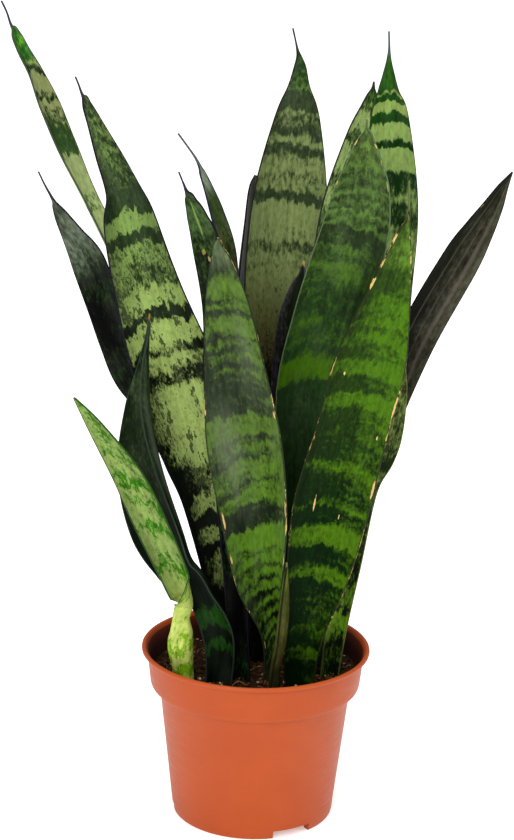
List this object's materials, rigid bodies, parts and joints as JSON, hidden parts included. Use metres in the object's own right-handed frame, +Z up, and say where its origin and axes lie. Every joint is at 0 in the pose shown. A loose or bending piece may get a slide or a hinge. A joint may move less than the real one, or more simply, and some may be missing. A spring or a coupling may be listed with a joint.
{
  "type": "potted plant",
  "caption": "Snake plant with upright, dark-banded, lance-shaped leaves in a terracotta-coloured plastic nursery pot of soil.",
  "frame": {"origin": "bottom centre of the whole plant's bounding box, in the plane that the pot's foot stands on", "axes": "+Z up along the pot's axis; -Y is the front that the picture looks at; +X to the right of that front"},
  "size_m": [0.336, 0.171, 0.5207],
  "materials": {
    "pot_plastic": "satin moulded plastic, terracotta orange",
    "potting_soil": "matt, coarse and crumbly",
    "leaf_light": "satin waxy leaf, light yellow-green with broken dark green bands",
    "leaf_mottled": "satin waxy leaf, olive green with jagged dark bands",
    "leaf_banded": "satin waxy leaf, dark green with brighter green cross bands",
    "leaf_dark": "satin waxy leaf, nearly black green"
  },
  "bodies": {
    "root": {"pot": "pot_plastic", "soil": "potting_soil", "leaf_far_left": "leaf_light", "leaf_left_tall": "leaf_mottled", "leaf_left_dark": "leaf_dark", "leaf_left_folded": "leaf_dark", "leaf_front_left": "leaf_light", "leaf_front_center": "leaf_banded", "leaf_small_center": "leaf_banded", "leaf_slim_curved": "leaf_banded", "leaf_back_sliver": "leaf_dark", "leaf_back_center": "leaf_mottled", "leaf_back_right": "leaf_light", "leaf_right_center": "leaf_banded", "leaf_right_tall": "leaf_light", "leaf_front_right": "leaf_banded", "leaf_far_right": "leaf_dark", "leaf_right_rear": "leaf_dark", "leaf_center_folded": "leaf_dark", "leaf_basal_small": "leaf_banded"}
  },
  "joints": []
}
